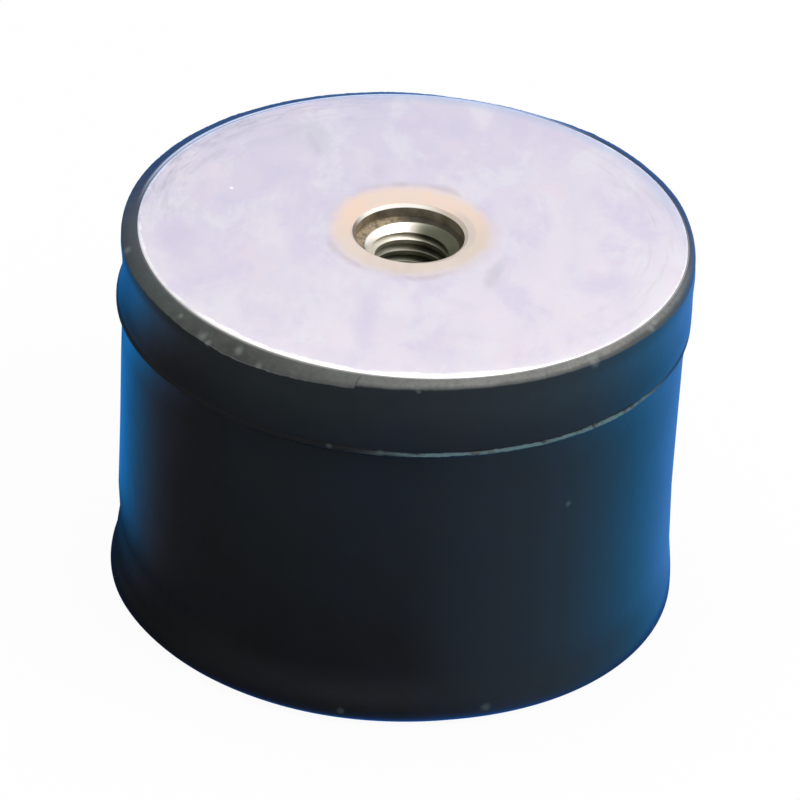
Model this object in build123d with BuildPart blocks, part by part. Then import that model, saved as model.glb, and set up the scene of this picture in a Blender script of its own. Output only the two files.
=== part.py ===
from build123d import *
from math import radians, tan
import os

os.makedirs("parts", exist_ok=True)

# Rubber buffer with a bonded steel plate and a threaded bush at each end, in millimetres.
# The origin is the centre of the lower plate's outer face, and +Z runs up the axis.

# Overall
height = 55.0

# End plates: steel discs with both edges rounded
plate_radius = 37.8
plate_thickness = 4.0
plate_edge_round = 0.45

# Thread of the bushes: M12, drilled to its minor diameter
thread_major_radius = 6.0
thread_minor_radius = 5.1
thread_length = 11.0
drill_point_angle = 118.0

# Mouth of a bush, from its outer face inwards
mouth_chamfer = 0.45
recess_wall = 1.9
recess_ledge = 0.85
recess_ledge_fall = 0.4
countersink_relief = 0.5
countersink_angle = 90.0

# Outside of a bush: neck in the plate, shoulder under it, barrel in the rubber
face_land = 3.5
shoulder_width = 3.2
shoulder_thickness = 3.0
shoulder_round = 0.5
barrel_wall = 3.6
barrel_floor = 2.2
barrel_chamfer = 1.0

# Lip of rubber round the edge of each plate
lip_width = 1.85
lip_drop = 0.4
lip_round = 0.5
foot_rim_height = 1.4
collar_rim_height = 2.4

# Side wall of the rubber, from the foot up to the mould's parting line
foot_flare_height = 7.6
waist_depth = 0.82
waist_widening = 0.17
overhang_height = 1.2
overhang_reach = 0.13

# Collar above the parting line, set back a little from the flash that the mould leaves there
collar_height = 10.8
collar_setback = 0.15
collar_hollow = 0.27
flash_reach = 0.12
flash_height = 0.35

# Radii that follow from these
countersink_radius = thread_major_radius + countersink_relief
recess_radius = countersink_radius + recess_ledge
mouth_radius = recess_radius + mouth_chamfer
neck_radius = mouth_radius + face_land
shoulder_radius = neck_radius + shoulder_width
barrel_radius = thread_major_radius + barrel_wall
rubber_radius = plate_radius + lip_width
waist_radius = rubber_radius - waist_depth
parting_radius = rubber_radius + overhang_reach
collar_radius = parting_radius - collar_setback

# Depths below the outer face that follow from these
recess_depth = recess_wall + recess_ledge_fall
countersink_depth = (countersink_radius - thread_minor_radius) / tan(radians(countersink_angle / 2))
drill_point_depth = thread_minor_radius / tan(radians(drill_point_angle / 2))
thread_start = recess_depth + countersink_depth
thread_end = thread_start + thread_length
drill_tip = thread_end + drill_point_depth
bush_length = drill_tip + barrel_floor
shoulder_end = plate_thickness + shoulder_thickness
lip_corner = plate_edge_round + lip_drop

# Heights up the side wall
waist_start = foot_rim_height + foot_flare_height
parting_height = height - collar_height
waist_end = parting_height - overhang_height

# Half-section planes of the ends: x is the distance from the axis, y the depth below the outer face
upper_section = Plane(origin=(0, 0, height), x_dir=(1, 0, 0), z_dir=(0, 1, 0))
lower_section = Plane(origin=(0, 0, 0), x_dir=(1, 0, 0), z_dir=(0, -1, 0))


def plate_disc(section):
    """Plate before it is punched for the bush."""
    with BuildPart() as disc:
        with BuildSketch(section):
            Rectangle(plate_radius, plate_thickness, align=(Align.MIN, Align.MIN))
        revolve(axis=Axis.Z)
        fillet(disc.edges().filter_by(GeomType.CIRCLE), radius=plate_edge_round)
    return disc.part


def bush_blank(section):
    """Turned bush before it is drilled."""
    with BuildPart() as blank:
        with BuildSketch(section):
            with BuildLine():
                Polyline((0, 0), (neck_radius, 0), (neck_radius, plate_thickness))
                FilletPolyline(
                    (neck_radius, plate_thickness),
                    (shoulder_radius, plate_thickness),
                    (shoulder_radius, shoulder_end),
                    (barrel_radius, shoulder_end),
                    radius=shoulder_round,
                )
                Polyline(
                    (barrel_radius, shoulder_end),
                    (barrel_radius, bush_length - barrel_chamfer),
                    (barrel_radius - barrel_chamfer, bush_length),
                    (0, bush_length),
                    (0, 0),
                )
            make_face()
        revolve(axis=Axis.Z)
    return blank.part


def bush_bore(section):
    """Space that is drilled out: chamfered recess with a sloped ledge, countersink and tapping bore."""
    with BuildPart() as bore:
        with BuildSketch(section):
            with BuildLine():
                Polyline(
                    (0, 0),
                    (mouth_radius, 0),
                    (recess_radius, mouth_chamfer),
                    (recess_radius, recess_wall),
                    (countersink_radius, recess_depth),
                    (thread_minor_radius, thread_start),
                    (thread_minor_radius, thread_end),
                    (0, drill_tip),
                    (0, 0),
                )
            make_face()
        revolve(axis=Axis.Z)
    return bore.part


# Upper plate, punched for the bush's neck
with BuildPart() as upper_plate:
    add(plate_disc(upper_section))
    add(bush_blank(upper_section), mode=Mode.SUBTRACT)
upper_plate.part.label = "upper_plate"
export_step(upper_plate.part, "parts/upper_plate.step")

# Lower plate, the same disc the other way up
with BuildPart() as lower_plate:
    add(plate_disc(lower_section))
    add(bush_blank(lower_section), mode=Mode.SUBTRACT)
lower_plate.part.label = "lower_plate"
export_step(lower_plate.part, "parts/lower_plate.step")

# Upper bush, flush with the upper plate
with BuildPart() as upper_bush:
    add(bush_blank(upper_section))
    add(bush_bore(upper_section), mode=Mode.SUBTRACT)
upper_bush.part.label = "upper_bush"
export_step(upper_bush.part, "parts/upper_bush.step")

# Lower bush, flush with the lower plate
with BuildPart() as lower_bush:
    add(bush_blank(lower_section))
    add(bush_bore(lower_section), mode=Mode.SUBTRACT)
lower_bush.part.label = "lower_bush"
export_step(lower_bush.part, "parts/lower_bush.step")

# Moulded rubber: a sloped lip at each end, a flared foot, a drawn-in waist, an overhang at the
# parting line with its flash, and a slightly hollow collar. The metal is bonded into it.
with BuildPart() as rubber_body:
    with BuildSketch(Plane.XZ):
        with BuildLine():
            FilletPolyline(
                (plate_radius, plate_edge_round),
                (rubber_radius, lip_corner),
                (rubber_radius, foot_rim_height),
                radius=lip_round,
            )
            Spline(
                (rubber_radius, foot_rim_height),
                (waist_radius, waist_start),
                tangents=((0, 1), (0, 1)),
            )
            Line((waist_radius, waist_start), (waist_radius + waist_widening, waist_end))
            Spline(
                (waist_radius + waist_widening, waist_end),
                (parting_radius, parting_height - flash_height),
                tangents=((0, 1), (0, 1)),
            )
            Polyline(
                (parting_radius, parting_height - flash_height),
                (parting_radius + flash_reach, parting_height),
                (collar_radius, parting_height),
            )
            ThreePointArc(
                (collar_radius, parting_height),
                (rubber_radius - collar_hollow, height - (collar_height + collar_rim_height) / 2),
                (rubber_radius, height - collar_rim_height),
            )
            FilletPolyline(
                (rubber_radius, height - collar_rim_height),
                (rubber_radius, height - lip_corner),
                (plate_radius, height - plate_edge_round),
                radius=lip_round,
            )
            Polyline(
                (plate_radius, height - plate_edge_round),
                (0, height - plate_edge_round),
                (0, plate_edge_round),
                (plate_radius, plate_edge_round),
            )
        make_face()
    revolve(axis=Axis.Z)
    add(plate_disc(upper_section), mode=Mode.SUBTRACT)
    add(plate_disc(lower_section), mode=Mode.SUBTRACT)
    add(bush_blank(upper_section), mode=Mode.SUBTRACT)
    add(bush_blank(lower_section), mode=Mode.SUBTRACT)
rubber_body.part.label = "rubber_body"
export_step(rubber_body.part, "parts/rubber_body.step")
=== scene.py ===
"""Looks of a rubber buffer with a bonded steel plate and a threaded bush at each end, in metres."""

from functools import reduce
from math import asin, atan2, cos, degrees, exp, hypot, inf, pi, radians, sin, tan

import bpy
from mathutils import Matrix, Vector, noise


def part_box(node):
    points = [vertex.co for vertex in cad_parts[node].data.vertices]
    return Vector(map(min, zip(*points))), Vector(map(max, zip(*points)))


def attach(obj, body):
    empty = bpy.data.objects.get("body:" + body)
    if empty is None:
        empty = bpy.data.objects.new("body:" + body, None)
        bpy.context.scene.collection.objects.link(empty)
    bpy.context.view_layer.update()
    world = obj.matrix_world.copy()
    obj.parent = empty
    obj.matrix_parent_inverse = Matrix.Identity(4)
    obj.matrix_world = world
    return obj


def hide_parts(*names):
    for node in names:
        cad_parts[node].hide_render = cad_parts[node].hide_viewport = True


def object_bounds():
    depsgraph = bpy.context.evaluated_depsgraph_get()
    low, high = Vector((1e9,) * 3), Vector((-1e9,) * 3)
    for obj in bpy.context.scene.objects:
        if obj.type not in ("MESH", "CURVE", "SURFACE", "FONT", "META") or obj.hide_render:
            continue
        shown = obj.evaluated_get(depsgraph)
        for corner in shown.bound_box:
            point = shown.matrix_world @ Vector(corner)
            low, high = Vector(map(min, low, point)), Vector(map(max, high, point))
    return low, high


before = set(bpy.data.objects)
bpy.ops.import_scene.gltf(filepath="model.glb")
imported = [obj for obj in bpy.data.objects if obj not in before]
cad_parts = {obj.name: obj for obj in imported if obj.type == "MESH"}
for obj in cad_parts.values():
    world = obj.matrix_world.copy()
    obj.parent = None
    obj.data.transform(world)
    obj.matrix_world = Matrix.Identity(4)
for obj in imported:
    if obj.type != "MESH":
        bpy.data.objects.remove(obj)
cad_box = [list(corner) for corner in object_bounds()]

MM = 0.001

# Points nearer to each other than this are merged
WELD = 0.001 * MM

# Sizes read from the frame
HEIGHT = cad_box[1][2]
PLATE_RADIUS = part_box("upper_plate")[1].x
PLATE_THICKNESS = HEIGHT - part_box("upper_plate")[0].z
SHOULDER_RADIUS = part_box("upper_bush")[1].x
BUSH_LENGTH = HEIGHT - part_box("upper_bush")[0].z

# End plates
PLATE_EDGE_ROUND = 0.45 * MM
PLATE_SIDES = 512

# Mouth of a bush, from its outer face inwards
MOUTH_CHAMFER = 0.45 * MM
RECESS_RADIUS = 7.35 * MM
RECESS_WALL = 1.9 * MM
RECESS_DEPTH = 2.3 * MM
COUNTERSINK_RADIUS = 6.5 * MM
COUNTERSINK_ANGLE = radians(90)
MOUTH_RADIUS = RECESS_RADIUS + MOUTH_CHAMFER

# The mouth was deburred by hand, so its rim and recess are a little wide and off centre
RIM_SHIFT = (-0.38 * MM, -0.53 * MM, 0)
RIM_WORN = 1.022
RECESS_SHIFT = (-0.4 * MM, -0.5 * MM, 0)
RECESS_WORN = 1.025
CONE_SHIFT = (0, -0.3 * MM, 0)
RING_SEARCH = 0.01 * MM

# Thread of a bush: M12, cut to its full form
THREAD_MAJOR = 6 * MM
THREAD_MINOR = 5.1 * MM
THREAD_PITCH = 1.75 * MM
THREAD_FLANK = radians(30)
THREAD_ROOT_FLAT = 0.12 * MM
THREAD_LENGTH = 11 * MM
DRILL_POINT = radians(118)
DRILL_TIP_RADIUS = 0.2 * MM
FIRST_CREST_DEPTH = 4.75 * MM
TAP_CORE = THREAD_MINOR - 0.1 * MM
TAP_TURNS = 9
TAP_TURNS_BELOW = 4.75
BUSH_SIDES = 160

# Outside of a bush
NECK_RADIUS = 11.3 * MM
SHOULDER_THICKNESS = 3 * MM
SHOULDER_ROUND = 0.5 * MM
SHOULDER_END = PLATE_THICKNESS + SHOULDER_THICKNESS
BARREL_RADIUS = 9.6 * MM
BARREL_CHAMFER = 1 * MM
BARREL_POLE = 1 * MM

# Section of the rubber's skin, from the foot to the top
LIP_WIDTH = 1.85 * MM
LIP_START = 0.17 * MM
LIP_DROP = 0.4 * MM
LIP_CROWN = 1.6
LIP_ROUND = 0.3 * MM
FOOT_RIM = 1.4 * MM
FOOT_FLARE = 7.6 * MM
WAIST_DEPTH = 0.82 * MM
WAIST_WIDENING = 0.17 * MM
OVERHANG_HEIGHT = 1.2 * MM
OVERHANG_REACH = 0.13 * MM
COLLAR_HEIGHT = 10.8 * MM
COLLAR_SETBACK = 0.15 * MM
COLLAR_HOLLOW = 0.27 * MM
COLLAR_RIM = 2.4 * MM
FLASH_HEIGHT = 0.35 * MM
FLASH_REACH = 0.12 * MM
GROOVE_DEPTH = 0.12 * MM
GROOVE_HEIGHT = 0.35 * MM
RUBBER_SIDES = 900
SKIN_RADIUS = PLATE_RADIUS + LIP_WIDTH
WAIST_RADIUS = SKIN_RADIUS - WAIST_DEPTH
PARTING_RADIUS = SKIN_RADIUS + OVERHANG_REACH
COLLAR_RADIUS = PARTING_RADIUS - COLLAR_SETBACK
PARTING = HEIGHT - COLLAR_HEIGHT
LIP_CORNER = HEIGHT - PLATE_EDGE_ROUND - LIP_DROP
RIM_LOW = HEIGHT - COLLAR_RIM

# Groove and flash, downwards: share of the depth or reach, and height over the parting line in
# millimetres
GROOVE_SECTION = [(0.6, 0.27), (1, 0.12), (0.6, 0.02), (-1 / 3, -0.02)]
FLASH_SECTION = [(0.5, -0.09), (1, -0.14), (1, -0.2), (0.3, -0.28)]

# The mould stood a little off the plate's centre, so the lip is wider on one side
SKIN_SHIFT = -0.55 * MM

# Fall of the upper lip by azimuth, in millimetres: most at the front left, where it is worn down as
# far as a sharp step, and least at the back
LIP_DROPS = [
    (-180, 0.4), (-150, 0.66), (-121, 1.4), (-98.9, 0.85), (-98.4, 0.3),
    (-75, 0.18), (-60, 0.28), (-10, 0.35), (25, 0.22), (48, 0.04),
    (68, 0.38), (80, 0.38), (96, 0.16), (130, 0.15), (180, 0.4),
]

# Raggedness of the lip: height in millimetres, waves a radian and seed; and a lobe with more of it
LIP_RAGS = [(0.05, 14, 2.2), (0.045, 55, 4.4), (0.035, 150, 6.6)]
LIP_RAGS_MORE = (1.2, -130, 60)

# Where the lip rolls over into the wall, at the right and left. A lobe is its strength, the azimuth
# of its middle and its reach in degrees.
LIP_ROLL = 0.6 * MM
LIP_ROLL_LOBES = [(1, -8, 32), (0.4, -172, 28)]

# Places where the wall stands in, in millimetres: its lobe, the height from which that grows and
# over how much, and the height by which it fades and over how much
DRAWN_PLACES = [
    (0.28, 180, 80, PARTING / MM, 0.5, inf, 1),
    (0.62, 180, 80, 1, 3, 13, 5),
    (0.36, 172, 30, -inf, 1, 6, 4),
    (0.62, 0, 80, 7, 12, PARTING / MM, 5),
    (-0.12, 180, 80, 22, 14, PARTING / MM, 2),
    (0.26, 3, 26, HEIGHT / MM - 4, 2, inf, 1),
]
PARTING_LOBES = [(0.14, 0, 45), (-0.2, -166, 34)]
PARTING_REACH = 1.5 * MM

# Spread of the foot at the front
FOOT_SPREAD = 0.28 * MM
FOOT_SPREAD_LOBES = [(1, -45, 48), (1.35, -106, 42)]
FOOT_SPREAD_TOP = 7 * MM
FOOT_SPREAD_FADE = 5 * MM

# Flash of the parting line: the stretch where it is torn, and the lobes where it wasn't trimmed
FLASH_FROM = -94
FLASH_TO = -22
FLASH_TEAR = 0.34 * MM
FLASH_TEAR_BACK = (0.6, 95, 60)
FLASH_RAGS = [(0.45, 9, 3.1), (0.35, 38, 7.7), (0.2, 110, 1.3)]
FLASH_LEFT_LOBES = [(1, -58, 42), (0.5, 95, 60)]
FLASH_TRIM = 0.02 * MM
GROOVE_FILLED = 0.7

# Waves of the parting line, and shallow dents all over
PARTING_WAVE = 0.05 * MM
PARTING_WAVE_REACH = 4 * MM
SKIN_DENT = 0.035 * MM
SKIN_DENT_SCALE = 70

# Nicks in the rubber, in degrees and millimetres: azimuth, distance from the axis, height, size
LIP_NICKS = [
    (-167.9, 39, 54.3, 1.1), (-140.5, 38.5, 54.2, 0.7), (-132.9, 38.9, 53.6, 1.3),
    (-131, 39.3, 53.4, 0.9), (-124, 38.5, 54, 1), (-118.5, 39.5, 53.6, 0.9),
    (-86.4, 39.3, 54, 0.6), (-76.4, 38.1, 54.5, 0.6), (-75, 38.5, 54.4, 0.5),
    (-49.4, 39.2, 54.2, 1.3), (-32.1, 39.2, 54.3, 0.8), (-29.9, 38.8, 54.5, 0.9),
]
WALL_NICKS = [
    (-97.8, 39.8, 2.1, 0.9), (-68.9, 39.75, 2.4, 1.1), (-20.5, 39.85, 1.7, 0.8),
    (-52.7, 39, 32.2, 0.7), (-93, 39.7, 44, 0.9), (-103, 39.7, 44, 0.7),
]

# Tones of the rubber's wall
WALL_TONES = (0.0072, 0.0078, 0.0082), (0.0108, 0.0114, 0.0118)
WALL_BLUISH = (0.0085, 0.0095, 0.017)
COLLAR_TONE = (0.019, 0.0225, 0.0215)
# Torn flash: paler torn rubber, with a painted highlight where its ledge faces the light
TORN_FLASH_AND_PAINTED_HIGHLIGHT_TONES = (0.06, 0.13, 0.148), (0.15, 0.25, 0.275)
# Painted shadow of the groove over the parting line
SEAM_PAINTED_SHADOW = (0.004, 0.0045, 0.005)
DUST_TONE = (0.12, 0.13, 0.14)
LIP_NICK_TONE = (0.24, 0.28, 0.28)
WALL_NICK_TONE = (0.11, 0.155, 0.155)

# Tones of the lip's top, by azimuth: pale at the front right, partly rubbed and partly painted
# light, painted shade at the left, and dark round the back
LIP_WEAR_AND_PAINTED_LIGHT_TONES = [
    (-180, (0.046, 0.05, 0.046)), (-150, (0.048, 0.058, 0.055)),
    (-125, (0.042, 0.049, 0.046)), (-100, (0.085, 0.092, 0.086)),
    (-80, (0.15, 0.152, 0.144)), (-45, (0.185, 0.185, 0.176)),
    (-22, (0.14, 0.146, 0.14)), (-5, (0.04, 0.045, 0.045)),
    (15, (0.012, 0.014, 0.016)), (158, (0.012, 0.014, 0.016)),
    (180, (0.046, 0.05, 0.046)),
]
LIP_SCUFF = (0.085, 0.095, 0.082)
LIP_GRIT = (0.03, 0.036, 0.032)
LIP_OUTER_TONE = (0.022, 0.03, 0.032)
# Painted blue reflection on the worn inner edge of the lip at the back left
LIP_PAINTED_BLUE_REFLECTION = (0.66, 0.76, 0.95)
# Painted highlight on the inner edge of the lip at the front, beside the plate's bright edge
LIP_PAINTED_HIGHLIGHT = (0.8, 0.79, 0.79)

# Bands of the rubber's finish: distances from the axis, then heights
LIP_OUTER = 39 * MM, 39.6 * MM
LIP_WORN_REFLECTION_BAND = 38.05 * MM, 38.45 * MM
LIP_PAINTED_HIGHLIGHT_BAND = 37.74 * MM, 37.98 * MM
COLLAR_BAND = PARTING + 0.3 * MM, HEIGHT - 3 * MM
FLASH_BELOW = PARTING - 0.56 * MM, PARTING - 0.38 * MM
FLASH_ABOVE = PARTING - 0.02 * MM, PARTING + 0.16 * MM
SEAM_LEVEL = PARTING - 0.05 * MM
SEAM_BAND = 0.22 * MM, 0.42 * MM

# Tones of the metal's outer face: plating, whose mix from cool to warm also carries painted light,
# its cloudy patches, the beige round the hole
PLATE_COOL = (0.655, 0.61, 0.69)
PLATE_WARM = (0.77, 0.705, 0.745)
PLATE_VIOLET = (0.62, 0.565, 0.69)
PLATE_ROSE = (0.8, 0.68, 0.7)
PLATE_SILVER = (0.76, 0.745, 0.755)
PLATE_GREY = (0.47, 0.47, 0.51)
RIM_ARC_GREY = (0.42, 0.42, 0.47)
# Painted highlight in the plate's outer band at the front
NEAR_PAINTED_HIGHLIGHT = (0.96, 0.93, 0.94)
# Painted bluish shade inside the plate's edge at the back right
FAR_EDGE_PAINTED_SHADE = (0.44, 0.52, 0.67)
# Burnished edge, painted as a highlight: white at the front, and a painted blue reflection
# elsewhere
EDGE_PAINTED_HIGHLIGHT = (1, 0.985, 0.975)
EDGE_PAINTED_BLUE_REFLECTION = (0.68, 0.78, 0.98)
HALO_TONE = (0.54, 0.45, 0.46)
BEIGE_BACK = (0.87, 0.655, 0.5)
BEIGE_FRONT = (0.69, 0.575, 0.47)
BEIGE_STREAK = (0.77, 0.68, 0.585)

# Bands of the plate's finish, by distance from the axis
HALO = 10.8 * MM, 11.8 * MM, 13.2 * MM
BEIGE_BAND = 9.9 * MM, 12.3 * MM
NEAR_PAINTED_HIGHLIGHT_BAND = 34.2 * MM, 37.4 * MM
FAR_EDGE_PAINTED_SHADE_BAND = 35 * MM, 37 * MM
BURNISHED_HIGHLIGHT_BAND = PLATE_RADIUS - 0.68 * MM, PLATE_RADIUS - 0.22 * MM

# Grey arcs at the right, left and rim: turns and fineness of their noise, the band of it that
# shows, their sector in degrees, and the distances from the axis where they start
ARCS = [
    (2.2, 1100, (0.53, 0.63), (8, 52), (31 * MM, 32.5 * MM)),
    (5, 700, (0.47, 0.62), (140, 56), (28 * MM, 34 * MM)),
    (9, 1500, (0.5, 0.62), (138, 44), (34.2 * MM, 35.2 * MM)),
]

# Violet, rose and silver streaks: scales of their noise by axis, and its offset
STREAKS = [
    ((125, 75, 50), (3.1, 7.4, 0)),
    ((140, 75, 50), (9.7, 1.6, 0)),
    ((155, 85, 50), (5.3, 4.2, 0)),
]

# Soft marks on the upper plate, in millimetres: place, turn in degrees, length, width, strength
GREY_SMEARS = [
    (11.3, -10.4, 76, 10, 2.2, 0.42),
    (-14.4, 24.6, 96, 15, 4.6, 0.38),
    (-18.5, 23.5, 80, 13, 9, 0.14),
    (-5.4, 16.2, 95, 6, 3, 0.26),
    (28.4, 15.5, 140, 7, 2.4, 0.22),
]
VIOLET_SMEARS = [
    (-5.6, -24, 90, 22, 4, 0.5),
    (-32, -4.6, 90, 18, 6.5, 0.5),
    (25.7, -11.2, 20, 11, 8, 0.5),
    (3.7, 29.9, 0, 12, 8, 0.5),
]

# Bright speck on the upper plate, given as a nick is
PLATE_SPECK = (160.6, 26.3, 55, 0.42)

# Tones of the bush: painted shade on its face round the mouth, chamfer, then down the hole
# Painted shade round the mouth at the front left
FRONT_RIM_PAINTED_SHADE = (0.3, 0.25, 0.19)
# Painted shade round the mouth at the right
RIGHT_RIM_PAINTED_SHADE = (0.5, 0.45, 0.39)
# Chamfer: a painted highlight at the back left, and painted shade at the front left
CHAMFER_TONES_AND_PAINTED_HIGHLIGHT = (0.66, 0.58, 0.48), (1, 0.97, 0.91)
CHAMFER_FRONT_PAINTED_SHADE = (0.16, 0.13, 0.095)
RECESS_TONES = (0.27, 0.235, 0.19), (0.45, 0.4, 0.33)
RECESS_ROUGH = (0.66, 0.55, 0.37)
LEDGE_TONES = (0.045, 0.04, 0.03), (0.085, 0.074, 0.056)
LEDGE_TAN = (0.36, 0.29, 0.19)
CONE_TONES = (0.78, 0.74, 0.62), (0.92, 0.88, 0.77)
# Painted highlight on the cone at the back left
CONE_PAINTED_HIGHLIGHT = (1, 0.98, 0.92)
# Painted shade on the cone at the right
CONE_PAINTED_SHADE = (0.3, 0.31, 0.235)
# Thread, with painted shade that darkens it deeper in the hole
THREAD_TONES = (0.8, 0.76, 0.65), (0.3, 0.3, 0.235)
# Painted shade on the thread at the right
THREAD_PAINTED_SHADE = (0.17, 0.17, 0.13)

# Bands of the bush's finish: distances from the axis, then depths in its mouth
FRONT_RIM_SHADE_EDGE = 8.2 * MM, 8.9 * MM
RIGHT_RIM_SHADE_EDGE = 8.3 * MM, 8.9 * MM
CHAMFER_START = 0.01 * MM, 0.08 * MM
HOLE_START = 0.42 * MM, 0.5 * MM
LEDGE_START = 1.75 * MM, 1.95 * MM
CONE_START = 2.25 * MM, 2.38 * MM
THREAD_START = 3.6 * MM, 3.8 * MM
THREAD_PAINTED_SHADE_DEPTHS = 4 * MM, 7 * MM

# Camera, found by fitting the outlines in the photograph
PICTURE = 800
SENSOR = 36
FOCAL_PIXELS = 6402.4
VIEW_DISTANCE = 0.8906
VIEW_ELEVATION = radians(32.19)
VIEW_ROLL = radians(3.39)
VIEW_LEFT = 0.95
VIEW_DOWN = 0.5

# Light that gloss meets below the horizon, by azimuth, as from a blue sweep
SWEEP_LEVEL = 3
SWEEP_RISE = 0.32
SWEEP = [
    (-180, (0.03, 0.04, 0.05)), (-150, (0.07, 0.13, 0.17)),
    (-90, (0.08, 0.18, 0.33)), (-50, (0.17, 0.28, 0.44)),
    (-10, (0.18, 0.4, 0.63)), (30, (0.03, 0.62, 1.36)),
    (50, (0.11, 0.66, 1.72)), (72, (0.16, 0.56, 1.6)),
    (96, (0.1, 0.66, 2.00)), (118, (0.01, 0.56, 1.7)),
    (134, (0.02, 0.32, 0.7)), (150, (0.16, 0.14, 0.2)),
    (166, (0.02, 0.025, 0.03)), (180, (0.03, 0.04, 0.05)),
]
HORIZON_BEHIND = (0.13, 0.46, 1.35)

# Pale dome above the sweep, and the plain light for what isn't gloss
DOME_LEFT = (0.24, 0.245, 0.21)
DOME_RIGHT = (1.05, 1.03, 1.05)
DOME_TOP = (1.2, 1.18, 1.18)
FILL_TONE = (1, 0.985, 0.97)
FILL_LEVEL = 0.55

# Where these meet, along X, Y or Z of the direction looked in
BEHIND_SIDES = 0.42, 0.58
BEHIND_START = 0, 0.3
HORIZON_BAND = -0.34, -0.18
DOME_MIDDLE = -0.26, -0.08
DOME_CROWN = 0.86, 0.97
SWEEP_END = 0.02, 0.2

# Lamps: place, width, depth, power and colour
SOFTBOXES = {
    "key_softbox": ((0.55, -0.25, 0.75), 0.5, 0.5, 3.6, (1, 0.985, 0.96)),
    "top_softbox": ((0, 0.1, 0.9), 0.7, 0.5, 2.6, (1, 0.99, 1)),
}

# Floor
FLOOR_SIZE = 6
FLOOR_GLOW = 0.95
PAPER_TONE = (0.86, 0.86, 0.88, 1)

# Painted contact shadow that gloss meets round the foot, a dark patch in the floor: distances from
# the axis by which it ends, at the left and elsewhere, and places along Y at the left and along X
# at the right
CONTACT_NEAR = 41.8 * MM
CONTACT_LEFT = 53 * MM
CONTACT_AHEAD = 100 * MM
CONTACT_LEFT_Y = -48 * MM, -22 * MM
CONTACT_RIGHT_X = 2 * MM, 22 * MM

# Fainter shade behind it at the left
SHADE_BEHIND = 0.45
SHADE_X = -50 * MM, -38 * MM
SHADE_Y = 47 * MM, 57 * MM

# Blue that shines in under the foot, most in the middle, by place along X
UNDER_EDGE = 41.4 * MM, 41.8 * MM
UNDER_GLOW = (0.02, 0.26, 1.00)
UNDER_LEVELS = 0.1, 3.6, 2.9
UNDER_RISE = -34 * MM, 2 * MM
UNDER_FALL = 12 * MM, 36 * MM


def ease(share):
    """Smooth step from 0 to 1."""
    share = min(1, max(0, share))
    return share * share * (3 - 2 * share)


def arc(centre, radius, first, last, steps):
    """Points of an arc in a section, by angles in degrees from the outward direction."""
    angles = [radians(first + (last - first) * step / steps) for step in range(steps + 1)]
    return [(centre[0] + radius * cos(a), centre[1] + radius * sin(a)) for a in angles]


def stretch(start, end, steps, shape=lambda share: share):
    """Points along a wall, without its start, with a shaped radius."""
    points = []
    for step in range(1, steps + 1):
        share = step / steps
        radius = start[0] + (end[0] - start[0]) * shape(share)
        points.append((radius, start[1] + (end[1] - start[1]) * share))
    return points


def follow(stops, azimuth):
    """Value at an azimuth, eased from each stop to the next."""
    for (first, low), (last, high) in zip(stops, stops[1:]):
        if azimuth <= last:
            return low + (high - low) * ease((azimuth - first) / (last - first))
    return stops[-1][1]


def lobe(azimuth, strength, middle, reach):
    """Strength at the middle azimuth, easing to 0 at a reach on both sides of it."""
    apart = abs((azimuth - middle + 180) % 360 - 180)
    return strength * ease(1 - apart / reach)


def strongest(azimuth, lobes):
    return max(lobe(azimuth, *each) for each in lobes)


def around(azimuth, waves, seed):
    """Noise from -1 to 1 round the axis, with about so many waves a radian."""
    return noise.noise(Vector((waves * cos(azimuth), waves * sin(azimuth), seed)))


def raggedness(azimuth, rags):
    return sum(height * around(azimuth, waves, seed) for height, waves, seed in rags)


def pick(piece):
    bpy.ops.object.select_all(action="DESELECT")
    piece.select_set(True)
    bpy.context.view_layer.objects.active = piece


def start_edit(piece):
    pick(piece)
    bpy.ops.object.mode_set(mode="EDIT")
    bpy.ops.mesh.select_mode(type="VERT")
    bpy.ops.mesh.select_all(action="SELECT")


def end_edit():
    bpy.ops.object.mode_set(mode="OBJECT")


def apply_modifier(piece, kind, **settings):
    pick(piece)
    modifier = piece.modifiers.new(kind.lower(), kind)
    for name, value in settings.items():
        setattr(modifier, name, value)
    bpy.ops.object.modifier_apply(modifier=modifier.name)


def draw_rings(name, outline, sides):
    """Turned shape: one ring, extruded and scaled from point to point of its section."""
    bpy.ops.object.select_all(action="DESELECT")
    radius, height = outline[0]
    bpy.ops.mesh.primitive_circle_add(vertices=sides, radius=radius, location=(0, 0, height))
    bpy.ops.object.transform_apply(location=True, rotation=True, scale=True)
    piece = bpy.context.object
    piece.name = piece.data.name = name
    start_edit(piece)
    for next_radius, next_height in outline[1:]:
        rise = (0, 0, next_height - height)
        widening = next_radius / radius
        bpy.ops.mesh.extrude_region_move(TRANSFORM_OT_translate={"value": rise})
        bpy.ops.transform.resize(value=(widening, widening, 1), center_override=(0, 0, 0))
        radius, height = next_radius, next_height
    bpy.ops.mesh.select_all(action="SELECT")
    return piece


def close_poles():
    """Closes both ends of a turned shape with a fan of faces."""
    bpy.ops.mesh.fill_holes(sides=0)
    bpy.ops.mesh.select_all(action="DESELECT")
    bpy.ops.mesh.select_face_by_sides(number=4, type="GREATER")
    bpy.ops.mesh.poke()
    bpy.ops.mesh.select_all(action="SELECT")
    bpy.ops.mesh.normals_make_consistent(inside=False)
    end_edit()


def close_ring():
    """Closes a turned shape whose outline ends where it began."""
    bpy.ops.mesh.remove_doubles(threshold=WELD)
    bpy.ops.mesh.normals_make_consistent(inside=False)
    end_edit()


def smooth(piece, angle):
    pick(piece)
    bpy.ops.object.shade_smooth_by_angle(angle=radians(angle))


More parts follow.
